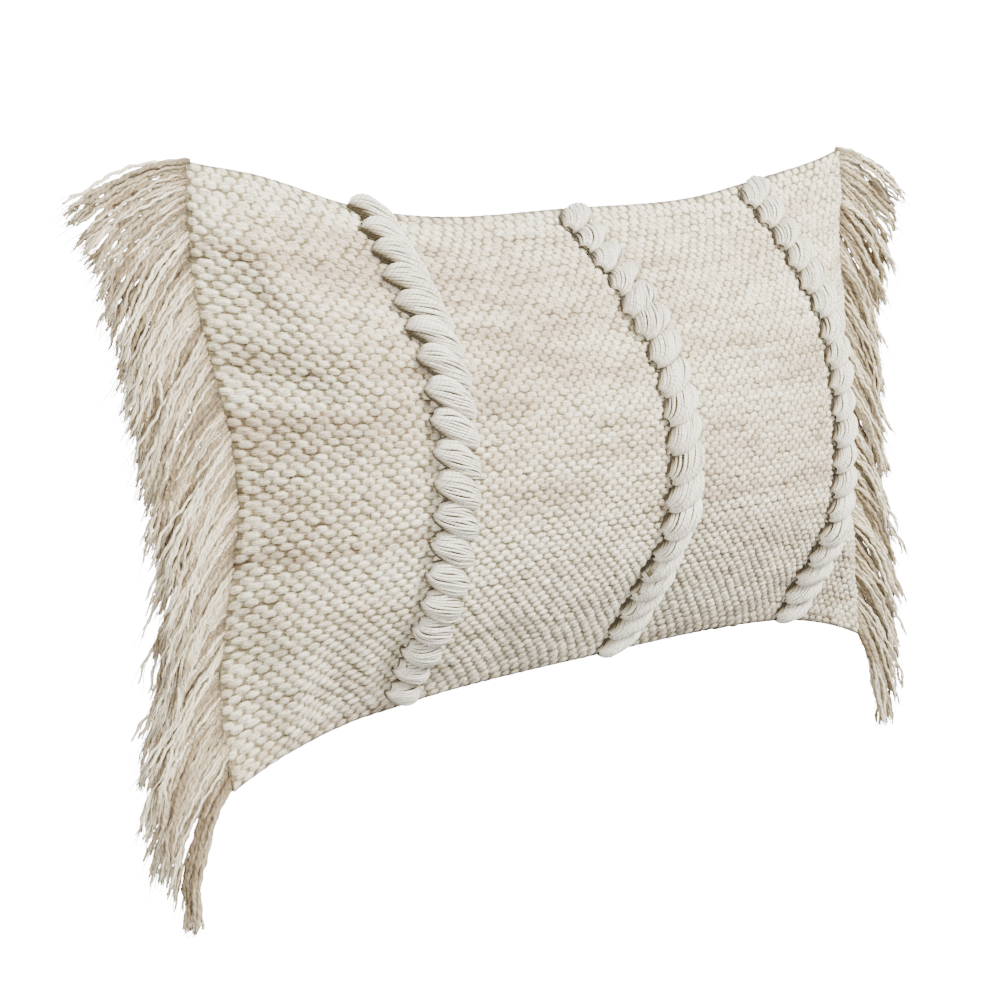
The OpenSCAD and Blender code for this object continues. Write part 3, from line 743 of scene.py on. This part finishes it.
fringe_yarn = spun_cotton("fringe_cotton", (0.86, 0.78, 0.585), (0.48, 0.38, 0.25), (60, 2, 1), 15)
tape_cotton = plain_cloth("tape_cotton", (0.66, 0.60, 0.49), (0.46, 0.40, 0.30), 1400, 0.0003)
for side, name in ((-1, "left"), (1, "right")):
    fringe_draw = np.random.default_rng(50 + side)
    number = clumps * yarns_in_clump
    v = np.linspace(-0.975, 0.985, number)
    v = v + 0.07 * (1 - v**2) + fringe_draw.normal(0, 0.004, number)
    v = np.clip(v, -0.985, 0.99)
    backing = np.arange(number) % 2
    paths, clump = fringe_paths(fringe_draw, side, v, np.where(backing, 0.25, 0.9))
    radius = np.full(paths.shape[:2], fringe_yarn_r) * (1 + fringe_draw.normal(0, 0.1, (number, 1)))
    radius = radius * (1 + 0.35 * backing)[:, None]
    tail = np.linspace(0, 1, fringe_rings)[None]
    radius = radius * (1 - 0.55 * np.clip((tail - 0.9) / 0.1, 0, 1))
    turned = np.linspace(0, fringe_l / twist_pitch * 2 * math.pi, fringe_rings)[None]
    turned = turned + fringe_draw.uniform(0, 6.3, (number, 1))
    tone = fringe_draw.uniform(0, 1, number) ** 2.2
    clump_tone = 0.2 * fringe_draw.normal(0, 1, clump.max() + 1)
    # The backing yarns get extra tan as painted shade for the middle of the fringe, behind the outer
    # yarns.
    tone = np.clip(tone + clump_tone[clump] + 0.25 * backing, 0, 1)
    outwards = np.broadcast_to([0.0, 1.0, 0.0], paths.shape)
    fringe_parts = []
    # Painted shade: darker near the root at the seam, darker on the backing yarns in the middle of the
    # fringe, and a little darker at random from yarn to yarn.
    painted_fringe_shade = np.clip(0.3 + tail * 4, 0, 1)
    painted_fringe_shade = painted_fringe_shade * (1 - 0.45 * backing - fringe_draw.uniform(0, 0.3, number))[:, None]
    for part, chosen in (("lower", v < 0), ("upper", v >= 0)):
        piece = lay_yarns(
            f"{name}_fringe_{part}",
            paths[chosen],
            radius[chosen],
            outwards[chosen],
            plies=ply_groove,
            twist=turned[chosen],
        )
        dye_and_shade_yarns(piece, tone[chosen], painted_fringe_shade[chosen])
        fringe_parts.append(piece)
    ends = np.repeat(paths[:, -10:], hairs, axis=0)
    at = np.linspace(0, 9, hair_rings)
    low = np.floor(at).astype(int).clip(0, 8)
    part_way = (at - low)[None, :, None]
    strands = ends[:, low] * (1 - part_way) + ends[:, low + 1] * part_way
    to_tip = np.linspace(0, 1, hair_rings)[None, :, None]
    loose = fringe_draw.normal(0, 1, (len(strands), 1, 3)) * to_tip**1.4
    reach = (strands[:, -1:] - strands[:, :1]) * fringe_draw.uniform(0.0, 0.35, (len(strands), 1, 1))
    strands = strands + reach * to_tip + loose * np.array([0.0020, 0.0018, 0.0018])
    strands[..., 2] = np.maximum(strands[..., 2], 0.001)
    hair_r = np.linspace(0.00042, 0.00016, hair_rings)[None] * np.ones((len(strands), 1))
    outwards = np.broadcast_to([0.0, 1.0, 0.0], strands.shape)
    hair = lay_yarns(name + "_fringe_frayed_ends", strands, hair_r, outwards, 4)
    dye_and_shade_yarns(hair, np.repeat(tone, hairs) * 0.8, np.ones((len(strands), hair_rings)))
    fringe_parts.append(hair)
    for piece in fringe_parts:
        close_yarns(piece)
        piece.data.materials.append(fringe_yarn)
        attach(piece, "cover")
    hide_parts(name + "_fringe")
    bm = bmesh.new()
    made = bmesh.ops.create_grid(bm, x_segments=6, y_segments=80, size=1)
    for vert in made["verts"]:
        place = drawn_in(np.array([float(side)]), np.array([vert.co.y * 0.965]))[0] + middle
        inwards = tape_w * (1 - vert.co.x) / 2 + 0.0004
        vert.co = Vector((place[0] - side * inwards, place[1], place[2]))
    mesh = bpy.data.meshes.new(name + "_fringe_tape_weave")
    bm.to_mesh(mesh)
    bm.free()
    tape = bpy.data.objects.new(mesh.name, mesh)
    scene.collection.objects.link(tape)
    wall = tape.modifiers.new("Solidify", "SOLIDIFY")
    wall.thickness = 0.001
    wall.offset = 0
    mesh.materials.append(tape_cotton)
    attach(tape, "cover")
    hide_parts(name + "_fringe_tape")

# ---- Zipper ----
# A closed zipper along the bottom seam: two woven tapes, moulded ivory teeth, pressed metal stops,
# and a plated slider whose pull tab hangs on a pin. Only the slider and its pull move.


def plated(name, colour, roughness, scratches):
    """Plated metal or moulded plastic with fine scratches and soft wear."""
    material, add = new_material(name)
    place = add("TexCoord").outputs["Object"]
    brushed = add("Mapping", {"Scale": (300, 2600, 2600)}, {"Vector": place})
    lines = add("TexNoise", {"Scale": 1.0, "Detail": 4.0}, {"Vector": brushed.outputs[0]})
    worn = add("TexNoise", {"Scale": 240.0, "Detail": 3.0}, {"Vector": place})
    ramp = add("ValToRGB", links={"Fac": worn.outputs[0]})
    colour_steps(ramp, [(0.3, tuple(c * 0.8 for c in colour)), (0.7, colour)])
    rough = add("ValToRGB", links={"Fac": lines.outputs[0]})
    low, high = roughness * 0.8, min(1.0, roughness * 1.3)
    colour_steps(rough, [(0.3, (low, low, low)), (0.7, (high, high, high))])
    relief = add("Bump", {"Strength": 0.4, "Distance": scratches}, {"Height": lines.outputs[0]})
    metal = add(
        "BsdfPrincipled",
        {"Metallic": 1.0 if scratches > 0.00004 else 0.0},
        {"Base Color": ramp.outputs[0], "Roughness": rough.outputs[0], "Normal": relief.outputs[0]},
    )
    add("OutputMaterial", links={"Surface": metal.outputs[0]})
    return material


zipper_finishes = {
    "zipper_tape": plain_cloth("zipper_tape_weave", (0.76, 0.71, 0.60), (0.56, 0.50, 0.40), 1800, 0.0002),
    "zipper_teeth": plated("ivory_acetal", (0.72, 0.67, 0.55), 0.45, 0.00002),
    "zipper_metal": plated("satin_nickel", (0.62, 0.61, 0.58), 0.32, 0.00005),
}
softened = {
    "zipper_slider": 0.00022,
    "zipper_pull": 0.00018,
    "zipper_top_stops": 0.0002,
    "zipper_bottom_stop": 0.0002,
    "zipper_front_teeth": 0.00025,
    "zipper_back_teeth": 0.00025,
}
for part in frame["record"]["subparts"]:
    node = frame["nodes"][part["node"]]
    if part["material_slot"] not in zipper_finishes:
        continue
    node.data.materials.clear()
    node.data.materials.append(zipper_finishes[part["material_slot"]])
    if part["node"] in softened:
        weld = node.modifiers.new("Weld", "WELD")
        weld.merge_threshold = 0.00001
        bevel = node.modifiers.new("Bevel", "BEVEL")
        bevel.width = softened[part["node"]]
        bevel.segments = 2
        bevel.limit_method = "ANGLE"
        bevel.angle_limit = math.radians(35)

# ---- Floor, light and camera ----
# A pale floor that runs out of sight into a pale surround, under soft studio light from above right.
floor_material, add = new_material("pale_floor")
glow = add("Emission", {"Color": (1, 1, 1, 1), "Strength": 17.0})
matt = add("BsdfDiffuse", {"Color": (0.9, 0.9, 0.9, 1)})
both = add("AddShader", links={0: glow.outputs[0], 1: matt.outputs[0]})
add("OutputMaterial", links={"Surface": both.outputs[0]})
bm = bmesh.new()
bmesh.ops.create_circle(bm, cap_ends=True, segments=96, radius=16)
mesh = bpy.data.meshes.new("floor")
bm.to_mesh(mesh)
bm.free()
mesh.materials.append(floor_material)
floor = bpy.data.objects.new("floor", mesh)
surround_material, add = new_material("pale_surround")
glow = add("Emission", {"Color": (1, 1, 1, 1), "Strength": 18.0})
add("OutputMaterial", links={"Surface": glow.outputs[0]})
bm = bmesh.new()
bmesh.ops.create_icosphere(bm, subdivisions=4, radius=17)
mesh = bpy.data.meshes.new("surround")
bm.to_mesh(mesh)
bm.free()
mesh.materials.append(surround_material)
surround = bpy.data.objects.new("surround", mesh)
for piece in (floor, surround):
    scene.collection.objects.link(piece)
    piece.visible_diffuse = False
    piece.visible_glossy = False
    piece.visible_transmission = False
    piece.visible_shadow = False

scene.world = bpy.data.worlds.new("studio")
scene.world.use_nodes = True
sky = scene.world.node_tree.nodes["Background"]
sky.inputs["Color"].default_value = (1, 1, 1, 1)
sky.inputs["Strength"].default_value = 0.42


def softbox(name, place, size, power):
    """A square soft light at place, facing the pillow."""
    light = bpy.data.lights.new(name, "AREA")
    light.size = size
    light.energy = power
    lamp = bpy.data.objects.new(name, light)
    lamp.location = place
    lamp.rotation_euler = (Vector(middle) - Vector(place)).to_track_quat("-Z", "Y").to_euler()
    scene.collection.objects.link(lamp)


softbox("key_light", (0.65, -1.75, 1.55), 0.8, 220)
softbox("fill_light", (-1.6, -1.4, 0.4), 1.4, 58)
softbox("back_light", (-0.8, 1.9, 1.5), 1.4, 120)

azimuth, elevation, roll = math.radians(-40.15), math.radians(6.46), math.radians(-3.49)
back = Vector(
    (
        math.sin(azimuth) * math.cos(elevation),
        -math.cos(azimuth) * math.cos(elevation),
        math.sin(elevation),
    )
)
aim = Vector(middle) + Vector((-0.0627, 0, -0.0338))
camera_far = 1.1907
camera_data = bpy.data.cameras.new("camera")
camera_data.sensor_width = 36
camera_data.lens = 71.2
camera_data.clip_end = 100
camera = bpy.data.objects.new("camera", camera_data)
camera.location = aim + back * camera_far
camera.rotation_mode = "QUATERNION"
turn = (-back).to_track_quat("-Z", "Y").to_matrix()
camera.rotation_quaternion = (turn @ Matrix.Rotation(roll, 3, "Z")).to_quaternion()
scene.collection.objects.link(camera)
scene.camera = camera
